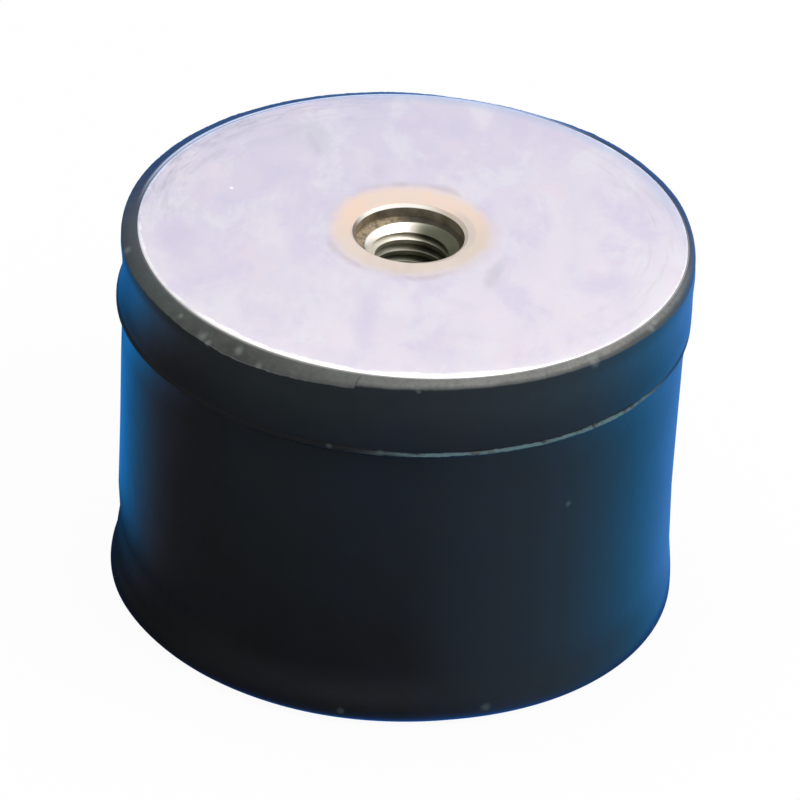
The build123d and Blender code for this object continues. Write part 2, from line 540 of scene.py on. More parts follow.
def turned_over(piece, name):
    """Copy of an upper piece for the lower end, turned half round about X at mid height."""
    copy = piece.copy()
    copy.data = piece.data.copy()
    copy.name = copy.data.name = name
    bpy.context.scene.collection.objects.link(copy)
    start_edit(copy)
    bpy.ops.transform.rotate(value=pi, orient_axis="X", center_override=(0, 0, HEIGHT / 2))
    end_edit()
    return copy


def heights(points):
    """Turns section points of an upper end from depths below its face into heights."""
    return [(radius, HEIGHT - depth) for radius, depth in points]


# Plates

def plate_outline():
    """Section of a plate from the hole over the face, round both edges and back."""
    edge = PLATE_RADIUS - PLATE_EDGE_ROUND
    hole_top, hole_low = (NECK_RADIUS, 0), (NECK_RADIUS, PLATE_THICKNESS)
    face = [hole_top] + stretch(hole_top, (edge, 0), 14)
    face_edge = arc((edge, PLATE_EDGE_ROUND), PLATE_EDGE_ROUND, -90, 0, 10)[1:]
    back_edge = arc((edge, PLATE_THICKNESS - PLATE_EDGE_ROUND), PLATE_EDGE_ROUND, 0, 90, 6)
    back = stretch((edge, PLATE_THICKNESS), hole_low, 3)
    return heights(face + face_edge + back_edge + back + stretch(hole_low, hole_top, 2))


def upper_plate():
    plate = draw_rings("turned_plate_upper", plate_outline(), PLATE_SIDES)
    close_ring()
    smooth(plate, 40)
    return plate


# Bushes

def barrel_outline():
    """Outside of a bush's blind end by depth, from its pole to its shoulder."""
    return [
        (BARREL_POLE, BUSH_LENGTH),
        (BARREL_RADIUS - BARREL_CHAMFER, BUSH_LENGTH),
        (BARREL_RADIUS, BUSH_LENGTH - BARREL_CHAMFER),
        (BARREL_RADIUS, SHOULDER_END),
    ]


def bush_outline():
    """Section of a bush from the pole of its barrel, up the outside, and down the drilled hole."""
    corner = SHOULDER_RADIUS - SHOULDER_ROUND
    outside = barrel_outline()
    outside += arc((corner, SHOULDER_END - SHOULDER_ROUND), SHOULDER_ROUND, 90, 0, 4)
    outside += arc((corner, PLATE_THICKNESS + SHOULDER_ROUND), SHOULDER_ROUND, 0, -90, 4)
    outside += [(NECK_RADIUS, PLATE_THICKNESS), (NECK_RADIUS, 0)]
    face = stretch((NECK_RADIUS, 0), (MOUTH_RADIUS, 0), 4)
    mouth = stretch((MOUTH_RADIUS, 0), (RECESS_RADIUS, MOUTH_CHAMFER), 1)
    recess = stretch(mouth[-1], (RECESS_RADIUS, RECESS_WALL), 3)
    cone_end = RECESS_DEPTH + (COUNTERSINK_RADIUS - THREAD_MINOR) / tan(COUNTERSINK_ANGLE / 2)
    thread_end = cone_end + THREAD_LENGTH
    point_depth = (THREAD_MINOR - DRILL_TIP_RADIUS) / tan(DRILL_POINT / 2)
    inside = [
        (COUNTERSINK_RADIUS, RECESS_DEPTH),
        (THREAD_MINOR, cone_end),
        (THREAD_MINOR, thread_end),
        (DRILL_TIP_RADIUS, thread_end + point_depth),
    ]
    return heights(outside + face + mouth + recess + inside)


def thread_tap():
    """Solid that cuts the right-hand thread: a groove's section, screwed up the axis."""
    root = THREAD_ROOT_FLAT / 2
    flank = (THREAD_MAJOR - TAP_CORE) * tan(THREAD_FLANK)
    land = THREAD_PITCH / 2
    lowest_groove = HEIGHT - FIRST_CREST_DEPTH - TAP_TURNS_BELOW * THREAD_PITCH
    section = [(TAP_CORE, -land), (TAP_CORE, -root - flank), (THREAD_MAJOR, -root)]
    section += [(THREAD_MAJOR, root), (TAP_CORE, root + flank), (TAP_CORE, land)]
    bpy.ops.object.select_all(action="DESELECT")
    bpy.ops.mesh.primitive_plane_add(size=1 * MM, location=(0, 0, 0))
    tap = bpy.context.object
    tap.name = tap.data.name = "thread_tap"
    start_edit(tap)
    bpy.ops.mesh.merge(type="CENTER")
    bpy.ops.transform.translate(value=(section[0][0], 0, lowest_groove + section[0][1]))
    for before, after in zip(section, section[1:]):
        step = (after[0] - before[0], 0, after[1] - before[1])
        bpy.ops.mesh.extrude_region_move(TRANSFORM_OT_translate={"value": step})
    end_edit()
    apply_modifier(
        tap, "SCREW", angle=2 * pi, screw_offset=THREAD_PITCH, iterations=TAP_TURNS,
        steps=BUSH_SIDES, render_steps=BUSH_SIDES, use_smooth_shade=False,
    )
    start_edit(tap)
    bpy.ops.mesh.remove_doubles(threshold=WELD)
    close_poles()
    return tap


def shift_ring(bush, ring_radius, depths, shift, worn=1):
    """Moves and widens the edges of the mouth that have one radius, between two depths."""
    start_edit(bush)
    bpy.ops.mesh.select_all(action="DESELECT")
    end_edit()
    for vertex in bush.data.vertices:
        on_ring = abs(hypot(vertex.co.x, vertex.co.y) - ring_radius) < RING_SEARCH
        vertex.select = on_ring and depths[0] < HEIGHT - vertex.co.z < depths[1]
    bpy.ops.object.mode_set(mode="EDIT")
    bpy.ops.transform.resize(value=(worn, worn, 1), center_override=(0, 0, 0))
    bpy.ops.transform.translate(value=shift)
    end_edit()


def shift_mouth(bush):
    """Moves the rim, the recess and the top of the cone off the thread's centre."""
    rim, wall = MOUTH_CHAMFER / 2, (RECESS_WALL + RECESS_DEPTH) / 2
    shift_ring(bush, MOUTH_RADIUS, (-rim, rim), RIM_SHIFT, RIM_WORN)
    shift_ring(bush, RECESS_RADIUS, (rim, wall), RECESS_SHIFT, RECESS_WORN)
    shift_ring(bush, COUNTERSINK_RADIUS, (wall, RECESS_DEPTH + RING_SEARCH), CONE_SHIFT)


def upper_bush():
    bush = draw_rings("threaded_bush_upper", bush_outline(), BUSH_SIDES)
    close_poles()
    shift_mouth(bush)
    tap = thread_tap()
    apply_modifier(bush, "BOOLEAN", object=tap, operation="DIFFERENCE", solver="EXACT")
    bpy.data.objects.remove(tap)
    start_edit(bush)
    bpy.ops.mesh.remove_doubles(threshold=WELD)
    end_edit()
    smooth(bush, 32)
    return bush


# Rubber

def lip_outline(start):
    """Upper lip and the round of its outer corner, down to the collar's rim."""
    end = (SKIN_RADIUS - LIP_ROUND, LIP_CORNER + 0.06 * MM)
    lip = []
    for share in (step / 8 for step in range(1, 9)):
        fall = (start[1] - end[1]) * share ** LIP_CROWN
        lip.append((start[0] + (end[0] - start[0]) * share, start[1] - fall))
    lip += arc((SKIN_RADIUS - LIP_ROUND, LIP_CORNER - LIP_ROUND + 0.03 * MM), LIP_ROUND, 75, 0, 4)
    return lip + stretch(lip[-1], (SKIN_RADIUS, RIM_LOW), 4)


def parting_outline():
    """Groove over the parting line and the flash under it, down to the overhang."""
    points = [(COLLAR_RADIUS - deep * GROOVE_DEPTH, z) for deep, z in GROOVE_SECTION]
    points += [(PARTING_RADIUS + out * FLASH_REACH, z) for out, z in FLASH_SECTION]
    points = [(radius, PARTING + z * MM) for radius, z in points]
    return points + [(PARTING_RADIUS, PARTING - FLASH_HEIGHT)]


def rubber_outline():
    """Section of the rubber from its upper pole, round the skin, to the lower pole."""
    edge = PLATE_RADIUS - PLATE_EDGE_ROUND
    cover = degrees(asin(1 - LIP_START / PLATE_EDGE_ROUND))
    cavity = barrel_outline()
    cavity += [
        (SHOULDER_RADIUS, SHOULDER_END),
        (SHOULDER_RADIUS, PLATE_THICKNESS),
        (edge, PLATE_THICKNESS),
        (PLATE_RADIUS, PLATE_THICKNESS - PLATE_EDGE_ROUND),
    ]
    cavity += arc((edge, PLATE_EDGE_ROUND), PLATE_EDGE_ROUND, 0, -cover, 3)
    top_cavity, foot_cavity = heights(cavity), cavity[::-1]
    skin = lip_outline(top_cavity[-1])
    groove = PARTING + GROOVE_HEIGHT
    hollow = (SKIN_RADIUS - COLLAR_HOLLOW, (RIM_LOW + groove) / 2)
    skin += stretch(skin[-1], hollow, 5, lambda share: sin(share * pi / 2))
    skin += stretch(skin[-1], (COLLAR_RADIUS, groove), 5, lambda share: 1 - cos(share * pi / 2))
    skin += parting_outline()
    skin += stretch(skin[-1], (WAIST_RADIUS + WAIST_WIDENING, PARTING - OVERHANG_HEIGHT), 10, ease)
    skin += stretch(skin[-1], (WAIST_RADIUS, FOOT_RIM + FOOT_FLARE), 8)
    skin += stretch(skin[-1], (SKIN_RADIUS, FOOT_RIM), 10, ease)
    corner = PLATE_EDGE_ROUND + LIP_DROP + LIP_ROUND
    skin += stretch(skin[-1], (SKIN_RADIUS, corner), 1)
    skin += arc((SKIN_RADIUS - LIP_ROUND, corner - 0.03 * MM), LIP_ROUND, 0, -75, 4)[1:]
    skin += stretch(skin[-1], foot_cavity[0], 4)
    return top_cavity + skin + foot_cavity[1:]


def drawn_in(azimuth, z):
    """How far the wall stands inside its even section."""
    level = z / MM
    drawn = 0
    for strength, middle, reach, start, growth, end, fade in DRAWN_PLACES:
        here = ease((level - start) / growth) * ease((end - level) / fade)
        drawn += lobe(azimuth, strength, middle, reach) * here
    near_parting = exp(-((z - PARTING) / PARTING_REACH) ** 2)
    drawn += sum(lobe(azimuth, *each) for each in PARTING_LOBES) * near_parting
    foot = ease((FOOT_SPREAD_TOP - z) / FOOT_SPREAD_FADE)
    return drawn * MM - FOOT_SPREAD * strongest(azimuth, FOOT_SPREAD_LOBES) * foot


def torn_flash(azimuth):
    """How far the flash stands out past its even edge, ragged where there is more of it."""
    turn = radians(azimuth)
    much = ease((azimuth - FLASH_FROM) / 8) * ease((FLASH_TO - azimuth) / 25)
    much = max(much, lobe(azimuth, *FLASH_TEAR_BACK))
    ragged = 0.55 + raggedness(turn, FLASH_RAGS)
    faint = 0.12 * max(0, around(turn, 30, 5.5)) + 0.1 * max(0, around(turn, 90, 9.5) - 0.25)
    return FLASH_TEAR * (much * max(0, ragged) + faint)


def lip_fall(azimuth, z, outside):
    """How far the worn lip, and the rim under it, lie below their even section."""
    ragged = (1 + lobe(azimuth, *LIP_RAGS_MORE)) * raggedness(radians(azimuth), LIP_RAGS)
    drop = (follow(LIP_DROPS, azimuth) + ragged) * MM - LIP_DROP
    rolled = LIP_ROLL * strongest(azimuth, LIP_ROLL_LOBES)
    if z > LIP_CORNER - WELD:
        return drop * outside + rolled * max(0, 2 * outside - 1) ** 2
    return (drop + rolled) * max(0, z - RIM_LOW) / (LIP_CORNER - RIM_LOW)


def parting_reach(azimuth, radius, z):
    """How far the wall at the parting line stands out, and how far its flash waves up."""
    left = strongest(azimuth, FLASH_LEFT_LOBES)
    reach = rise = 0
    if PARTING - OVERHANG_HEIGHT < z < PARTING and radius > COLLAR_RADIUS - FLASH_TRIM:
        reach -= (1 - left) * (radius - COLLAR_RADIUS + FLASH_TRIM)
    if PARTING < z < PARTING + GROOVE_HEIGHT and radius < COLLAR_RADIUS:
        reach += max(left, GROOVE_FILLED) * (COLLAR_RADIUS - radius)
    if abs(z - PARTING) < 0.3 * MM and radius > PARTING_RADIUS + 0.2 * FLASH_REACH:
        reach += torn_flash(azimuth)
        rise = PARTING_WAVE * around(radians(azimuth), 45, 8.8)
    return reach, rise


def shape_skin(rubber):
    """Wears the lip, tears the flash, dents the wall, draws it in and moves it off centre."""
    on_lip = []
    for vertex in rubber.data.vertices:
        x, y, z = vertex.co
        radius = hypot(x, y)
        outside = min(1, (radius - PLATE_RADIUS) / LIP_WIDTH)
        on_skin = outside > 0.001
        on_lip.append(1.0 if on_skin and z > LIP_CORNER - LIP_ROUND * 0.75 else 0.0)
        if not on_skin:
            continue
        turn = atan2(y, x)
        azimuth = degrees(turn)
        out = Vector((cos(turn), sin(turn), 0))
        reach, rise = parting_reach(azimuth, radius, z)
        near_parting = exp(-((z - PARTING) / PARTING_WAVE_REACH) ** 2)
        rise += PARTING_WAVE * around(turn, 5, 0.4) * near_parting
        vertex.co += out * reach
        vertex.co.z += rise - lip_fall(azimuth, z, outside)
        vertex.co += out * SKIN_DENT * noise.noise(vertex.co * SKIN_DENT_SCALE)
        vertex.co -= out * drawn_in(azimuth, z) * outside
        vertex.co.x += SKIN_SHIFT * outside
    lip = rubber.data.attributes.new("lip", "FLOAT", "POINT")
    lip.data.foreach_set("value", on_lip)


def rubber_body():
    rubber = draw_rings("moulded_rubber", rubber_outline(), RUBBER_SIDES)
    close_poles()
    shape_skin(rubber)
    smooth(rubber, 45)
    return rubber


# Materials

class Value:
    """A node's output, on which each of Python's operators adds its Math node."""

    def __init__(self, graph, socket):
        self.graph = graph
        self.socket = socket

    def __add__(self, other):
        return self.graph.math("ADD", self, other)

    __radd__ = __add__

    def __sub__(self, other):
        return self.graph.math("SUBTRACT", self, other)

    def __rsub__(self, other):
        return self.graph.math("SUBTRACT", other, self)

    def __mul__(self, other):
        return self.graph.math("MULTIPLY", self, other)

    __rmul__ = __mul__

    def __truediv__(self, other):
        return self.graph.math("DIVIDE", self, other)

    def __abs__(self):
        return self.graph.math("ABSOLUTE", self)

    def at_least(self, other):
        return self.graph.math("MAXIMUM", self, other)

    def clamped(self):
        return self.graph.math("MINIMUM", self.at_least(0), 1)

    def above(self, low, high):
        """0 below low, 1 above high and a smooth step from one to the other."""
        inputs = {"Value": self, "From Min": low, "From Max": high}
        made = self.graph.node("ShaderNodeMapRange", inputs, interpolation_type="SMOOTHSTEP")
        return made["Result"]

    def below(self, low, high):
        """1 below low, 0 above high and a smooth step from one to the other."""
        return 1 - self.above(low, high)


class Graph:
    """The nodes of a material or of the world."""

    def __init__(self, tree):
        self.tree = tree
        tree.nodes.clear()

    def node(self, kind, inputs=None, **settings):
        """Adds a node with values or links for its inputs, and gives its outputs by name."""
        made = self.tree.nodes.new(kind)
        for name, value in settings.items():
            if name == "stops":
                self.set_stops(made.color_ramp, value)
            else:
                setattr(made, name, value)
        sockets = {socket.identifier: socket for socket in made.inputs}
        for name, value in (inputs or {}).items():
            if isinstance(value, Value):
                self.tree.links.new(value.socket, sockets[name])
            else:
                sockets[name].default_value = value
        return {socket.identifier: Value(self, socket) for socket in made.outputs}

    def set_stops(self, ramp, stops):
        while len(ramp.elements) < len(stops):
            ramp.elements.new(0.5)
        for element, (place, colour) in zip(ramp.elements, stops):
            element.position = place
            element.color = (*colour, 1)

    def math(self, operation, *values):
        inputs = dict(zip(("Value", "Value_001", "Value_002"), values))
        return self.node("ShaderNodeMath", inputs, operation=operation)["Value"]

    def length(self, operation, *vectors):
        inputs = dict(zip(("Vector", "Vector_001"), vectors))
        return self.node("ShaderNodeVectorMath", inputs, operation=operation)["Value"]

    def split(self, vector):
        parts = self.node("ShaderNodeSeparateXYZ", {"Vector": vector})
        return parts["X"], parts["Y"], parts["Z"]

    def distance(self, x, y):
        return self.math("SQRT", x * x + y * y)

    def colour(self, value):
        return value if isinstance(value, Value) else (*value, 1)

    def mix(self, factor, first, second):
        first, second = self.colour(first), self.colour(second)
        inputs = {"Factor_Float": factor, "A_Color": first, "B_Color": second}
        return self.node("ShaderNodeMix", inputs, data_type="RGBA")["Result_Color"]

    def coats(self, colour, *coats):
        """Lays coats over a colour in turn, each given by its strength and its own colour."""
        for strength, coat in coats:
            colour = self.mix(strength, colour, coat)
        return colour

    def by_azimuth(self, azimuth, stops):
        """Colour that follows stops round the axis."""
        share = azimuth / (2 * pi) + 0.5
        ramp = [((degree + 180) / 360, colour) for degree, colour in stops]
        return self.node("ShaderNodeValToRGB", {"Fac": share}, stops=ramp)["Color"]

    def mix_shader(self, factor, first, second):
        inputs = {"Fac": factor, "Shader": first, "Shader_001": second}
        return self.node("ShaderNodeMixShader", inputs)["Shader"]

    def emission(self, colour, strength):
        inputs = {"Color": self.colour(colour), "Strength": strength}
        return self.node("ShaderNodeEmission", inputs)["Emission"]

    def background(self, colour, strength):
        inputs = {"Color": self.colour(colour), "Strength": strength}
        return self.node("ShaderNodeBackground", inputs)["Background"]


class Finish(Graph):
    """A material, and the coordinates of the piece that it is on."""

    def __init__(self, name):
        self.material = bpy.data.materials.new(name)
        self.material.use_nodes = True
        super().__init__(self.material.node_tree)
        self.place = self.node("ShaderNodeTexCoord")["Object"]
        self.x, self.y, self.z = self.split(self.place)
        self.radius = self.distance(self.x, self.y)
        self.azimuth = self.math("ARCTAN2", self.y, self.x)

    def grain(self, scale, detail, roughness=0.6, distortion=0, place=None):
        """Noise, alike in all directions."""
        inputs = {"Vector": place or self.place, "Scale": scale, "Detail": detail}
        inputs.update({"Roughness": roughness, "Distortion": distortion})
        return self.node("ShaderNodeTexNoise", inputs)["Fac"]

    def drawn_grain(self, scales, detail, roughness, distortion=0, offset=(0, 0, 0)):
        """Noise drawn out along an axis, by its scales along X, Y and Z."""
        inputs = {"Vector": self.place, "Location": offset, "Scale": scales}
        place = self.node("ShaderNodeMapping", inputs)["Vector"]
        return self.grain(1, detail, roughness, distortion, place)

    def ring_grain(self, turns, fine):
        """Noise drawn out round the axis: short arcs, broken here and there."""
        inputs = {"X": self.x / self.radius * turns, "Y": self.y / self.radius * turns}
        inputs["Z"] = self.radius * fine
        return self.grain(1, 3, place=self.node("ShaderNodeCombineXYZ", inputs)["Vector"])

    def turning_lines(self, scale):
        """Fine rings round the axis, as a lathe tool leaves them."""
        inputs = {"W": self.radius, "Scale": scale, "Detail": 2}
        return self.node("ShaderNodeTexNoise", inputs, noise_dimensions="1D")["Fac"]

    def sector(self, middle, reach):
        """1 at an azimuth, in degrees, and 0 past a reach on both sides of it."""
        apart = abs(self.math("WRAP", self.azimuth - radians(middle), pi, -pi))
        return apart.below(radians(reach / 2), radians(reach))

    def spots(self, marks, raggedness):
        """1 inside small marks, each given by azimuth, distance from the axis, height and size."""
        spots = []
        for azimuth, radius, height, size in marks:
            along, across = cos(radians(azimuth)), sin(radians(azimuth))
            centre = (radius * MM * along + SKIN_SHIFT, radius * MM * across, height * MM)
            away = self.length("DISTANCE", self.place, centre) + raggedness * (size * MM)
            spots.append(away.below(0.1 * size * MM, 0.9 * size * MM))
        return reduce(Value.at_least, spots)

    def smears(self, marks, raggedness):
        """Strength of soft oval marks on an upper face."""
        smears = []
        for x, y, turn, length, width, strength in marks:
            inputs = {
                "Vector": self.place,
                "Location": (x * MM, y * MM, HEIGHT),
                "Rotation": (0, 0, radians(turn)),
                "Scale": (length / 2 * MM, width / 2 * MM, MM),
            }
            inside = self.node("ShaderNodeMapping", inputs, vector_type="TEXTURE")["Vector"]
            away = self.length("LENGTH", inside) + raggedness
            smears.append(away.below(0.1, 1.15) * strength)
        return reduce(Value.at_least, smears)

    def relief(self, *layers):
        """Normal with layers of relief, each given by its height, depth and strength."""
        normal = None
        for height, depth, strength in layers:
            inputs = {"Height": height, "Distance": depth, "Strength": strength}
            if normal:
                inputs["Normal"] = normal
            normal = self.node("ShaderNodeBump", inputs)["Normal"]
        return normal

    def put_out(self, shader):
        self.node("ShaderNodeOutputMaterial", {"Surface": shader})

    def surface(self, colour, roughness, normal, **others):
        """Ends the material in one Principled shader."""
        inputs = {"Base Color": colour, "Roughness": roughness.clamped(), "Normal": normal}
        self.put_out(self.node("ShaderNodeBsdfPrincipled", {**inputs, **others})["BSDF"])
        return self.material


def black_rubber():
    """Moulded black rubber: satin wall; a lip paler at the front right, partly rubbed and partly
    painted light, with painted shade at the left and a painted highlight and painted blue
    reflection on its inner edge; torn flash with a painted highlight; painted shadow along the
    parting line; nicks and a little dust.
    """
    finish = Finish("moulded_black_rubber")
    sector = finish.sector
    cloud = finish.grain(90, 4, 0.55)
    patch = finish.grain(170, 4, 0.6, 0.6)
    streaks = finish.drawn_grain((420, 420, 45), 3, 0.6)
    coarse = finish.grain(420, 4)
    fine = finish.grain(1400, 3)
    speckle = finish.grain(3800, 2)
    wall = finish.coats(
        finish.mix(cloud, *WALL_TONES),
        (patch.above(0.48, 0.66) * 0.5, WALL_BLUISH),
        (finish.z.above(*COLLAR_BAND) * (0.4 + 0.6 * coarse), COLLAR_TONE),
    )

    lip = finish.node("ShaderNodeAttribute", attribute_name="lip")["Fac"]
    rubbed = sector(-75, 105)
    dulled = sector(-95, 135)
    outward = finish.distance(finish.x - SKIN_SHIFT, finish.y)
    outward = outward + sector(-15, 45) * (0.2 * MM) + (coarse - 0.5) * (0.4 * MM)
    # Inner edge of the lip at the back left: worn and duller, and its colour a painted blue
    # reflection
    worn = finish.radius.below(*LIP_WORN_REFLECTION_BAND) * sector(112, 66)
    # Painted highlight on the inner edge of the lip at the front
    lip_painted_highlight = finish.radius.below(*LIP_PAINTED_HIGHLIGHT_BAND) * sector(-75, 110)
    # Lip tones by azimuth: rubbed wear, painted light at the front right and painted shade at the
    # left
    lip_tone = finish.coats(
        finish.by_azimuth(finish.azimuth, LIP_WEAR_AND_PAINTED_LIGHT_TONES),
        (coarse.above(0.42, 0.66) * rubbed * 0.4, LIP_SCUFF),
        (fine.above(0.45, 0.7) * rubbed * 0.35, LIP_GRIT),
        (outward.above(*LIP_OUTER) * sector(-50, 82) * 0.9, LIP_OUTER_TONE),
        (worn * 0.9, LIP_PAINTED_BLUE_REFLECTION),
        (lip_painted_highlight * 0.7, LIP_PAINTED_HIGHLIGHT),
    )

    # Torn flash at the front right: paler torn rubber with a painted highlight
    drawn = finish.drawn_grain((340, 340, 1500), 4, 0.65)
    level = finish.z + (drawn - 0.5) * (1.1 * MM)
    torn = level.above(*FLASH_BELOW) * level.below(*FLASH_ABOVE)
    torn = torn * sector(-62, 40) * coarse.above(0.3, 0.44)
    # Painted shadow along the groove over the parting line, which is also made rough
    seam = abs(finish.z - SEAM_LEVEL).below(*SEAM_BAND)
    dull_seam_painted_shadow = seam * (1 - sector(-58, 50)) * sector(-80, 110)
    ragged = (fine - 0.5) * 0.5 + (coarse - 0.5) * 0.9
    lip_nick = finish.spots(LIP_NICKS, ragged)
    wall_nick = finish.spots(WALL_NICKS, ragged)
    colour = finish.coats(
        finish.mix(lip, wall, lip_tone),
        (torn * 0.85, finish.mix(fine, *TORN_FLASH_AND_PAINTED_HIGHLIGHT_TONES)),
        (dull_seam_painted_shadow * 0.8, SEAM_PAINTED_SHADOW),
        (speckle.above(0.74, 0.8) * 0.35, DUST_TONE),
        (lip_nick * 0.42, LIP_NICK_TONE),
        (wall_nick * 0.3, WALL_NICK_TONE),
    )
    roughness = 0.3 + 0.08 * cloud + 0.6 * torn + 0.6 * dull_seam_painted_shadow
    roughness = roughness + lip * (0.24 * dulled + 0.1 * worn - 0.05)
    normal = finish.relief(
        (fine, 0.02 * MM, 0.3),
        (streaks * (1 - lip), 0.05 * MM, 0.25),
        (cloud, 0.3 * MM, 0.35),
        (coarse * lip * rubbed, 0.12 * MM, 0.6),
        (1 - lip_nick.at_least(wall_nick), 0.08 * MM, 0.5),
    )
    return finish.surface(colour, roughness, normal, IOR=1.5)


def plated_face(finish):
    """Outer face of a plate and its bush: cloudy plating with painted light, warmer and brighter
    towards the front right, and beige round the hole.
    """
    cloud = finish.grain(42, 5, 0.62, 0.8)
    patch = finish.grain(130, 4, 0.6, 0.5)
    drawn = finish.drawn_grain((190, 70, 60), 4, 0.62)
    violet, rose, silver = (
        finish.drawn_grain(scales, 4, 0.66, 0.3, offset) for scales, offset in STREAKS
    )
    # Painted light: the plating warmer and brighter towards the front right, cooler and darker at
    # the back left
    painted_light_ahead = (0.5 * finish.x - finish.y) / PLATE_RADIUS
    warmth = 0.46 + 0.26 * painted_light_ahead + 0.8 * (cloud - 0.5) + 0.6 * (drawn - 0.5)
    arcs = []
    for turns, fine, shown, place, start in ARCS:
        arcs.append(finish.ring_grain(turns, fine).above(*shown) * finish.sector(*place))
        arcs[-1] = arcs[-1] * finish.radius.above(*start)
    right_arcs, left_arcs, rim_arcs = arcs

    wide = finish.distance(finish.x * 1.03 + 0.3 * MM, finish.y * 0.95)
    wide = wide + (patch - 0.5) * (2.4 * MM)
    halo = wide.above(*HALO[:2]) * wide.below(*HALO[1:])
    backward = (finish.y * 0.8 - finish.x * 0.3) / (9 * MM)
    beige = finish.mix(backward.above(-0.9, 0.9), BEIGE_FRONT, BEIGE_BACK)
    beige = finish.mix(drawn.above(0.4, 0.66) * 0.5, beige, BEIGE_STREAK)
    colour = finish.coats(
        finish.mix(warmth.above(0.1, 0.9), PLATE_COOL, PLATE_WARM),
        (violet.above(0.46, 0.66) * 0.55, PLATE_VIOLET),
        (rose.above(0.5, 0.7) * 0.36, PLATE_ROSE),
        (silver.above(0.48, 0.66) * 0.55, PLATE_SILVER),
        (right_arcs * 0.22 + left_arcs * 0.36, PLATE_GREY),
        (rim_arcs * 0.45, RIM_ARC_GREY),
        (halo * (0.08 + 0.5 * drawn.above(0.42, 0.66)), HALO_TONE),
        (wide.below(*BEIGE_BAND), beige),
    )
    return colour, cloud, patch


def zinc_plate():
    """Cloudy zinc plating with faint turning arcs, a few marks, a painted highlight at the front,
    painted bluish shade at the back right, and a burnished edge painted as a highlight and a blue
    reflection.
    """
    finish = Finish("mottled_zinc")
    sector = finish.sector
    face, cloud, patch = plated_face(finish)
    fine = finish.grain(900, 3)
    # Painted highlight in the outer band at the front
    near_painted_highlight = (finish.radius + (patch - 0.5) * (5 * MM)).above(*NEAR_PAINTED_HIGHLIGHT_BAND)
    # Painted bluish shade inside the edge at the back right
    far_edge_painted_shade = finish.radius.above(*FAR_EDGE_PAINTED_SHADE_BAND) * sector(56, 62)
    right_edge = sector(-15, 62)
    near_edge = sector(-78, 165)
    # Burnished edge band with a painted highlight, whitest at the front, and a painted blue
    # reflection elsewhere
    border = finish.radius + (sector(-98, 46) * 0.48 - right_edge * 0.24) * MM
    border = border - (patch - 0.5) * (1 * MM + 1.6 * MM * sector(-115, 50))
    burnished_with_highlight = (border - (fine - 0.5) * (0.7 * MM)).above(*BURNISHED_HIGHLIGHT_BAND)
    edge_highlight_strength = burnished_with_highlight * (0.6 + 0.4 * near_edge - 0.2 * right_edge)
    soft = (patch - 0.5) * 1.8 + (fine - 0.5) * 0.8
    colour = finish.coats(
        face,
        (near_painted_highlight * sector(-90, 95) * 0.16, NEAR_PAINTED_HIGHLIGHT),
        (far_edge_painted_shade * 0.45, FAR_EDGE_PAINTED_SHADE),
        (edge_highlight_strength, finish.mix(near_edge, EDGE_PAINTED_BLUE_REFLECTION, EDGE_PAINTED_HIGHLIGHT)),
        (finish.spots([PLATE_SPECK], (fine - 0.5) * 0.8), (1, 1, 1)),
        (finish.smears(VIOLET_SMEARS, soft), PLATE_VIOLET),
        (finish.smears(GREY_SMEARS, soft), PLATE_GREY),
    )
    roughness = 0.44 + 0.12 * cloud + 0.05 * fine - 0.1 * burnished_with_highlight
    normal = finish.relief((fine, 0.012 * MM, 0.3))
    return finish.surface(colour, roughness, normal, Metallic=0.3)


def mouth_tones(finish, depth, coarse, fine):
    """Colours of a bush's mouth: its chamfer, and what lies under it, with painted highlights at
    the back left, painted shade at the front left and the right, and the thread painted darker with
    depth.
    """
    sector = finish.sector
    # Chamfer: painted highlight at the back left, painted shade at the front left
    chamfer = finish.mix(sector(130, 84), *CHAMFER_TONES_AND_PAINTED_HIGHLIGHT)
    chamfer = finish.mix(sector(-145, 75), chamfer, CHAMFER_FRONT_PAINTED_SHADE)
    speckled = coarse.above(0.3, 0.7)
    rough_left = sector(178, 60) * (0.4 * coarse + fine.above(0.38, 0.66))
    recess = finish.mix(speckled, *RECESS_TONES)
    recess = finish.mix((rough_left * 0.6).clamped(), recess, RECESS_ROUGH)
    tan_left = sector(152, 62) * (0.35 + 0.65 * fine.above(0.38, 0.62))
    ledge = finish.mix(tan_left, finish.mix(speckled, *LEDGE_TONES), LEDGE_TAN)
    # Painted shade on the cone and thread at the right
    dulled = sector(38, 62)
    # Cone with a painted highlight at the back left
    cone = finish.coats(
        finish.mix(coarse.above(0.35, 0.7), *CONE_TONES),
        (sector(145, 62), CONE_PAINTED_HIGHLIGHT),
        (dulled, CONE_PAINTED_SHADE),
    )
    # Thread painted darker deeper in the hole
    thread = finish.mix(depth.above(*THREAD_PAINTED_SHADE_DEPTHS), *THREAD_TONES)
    thread = finish.mix(dulled, thread, THREAD_PAINTED_SHADE)
    inside = finish.coats(
        recess,
        (depth.above(*LEDGE_START), ledge),
        (depth.above(*CONE_START), cone),
        (depth.above(*THREAD_START), thread),
    )
    return chamfer, inside


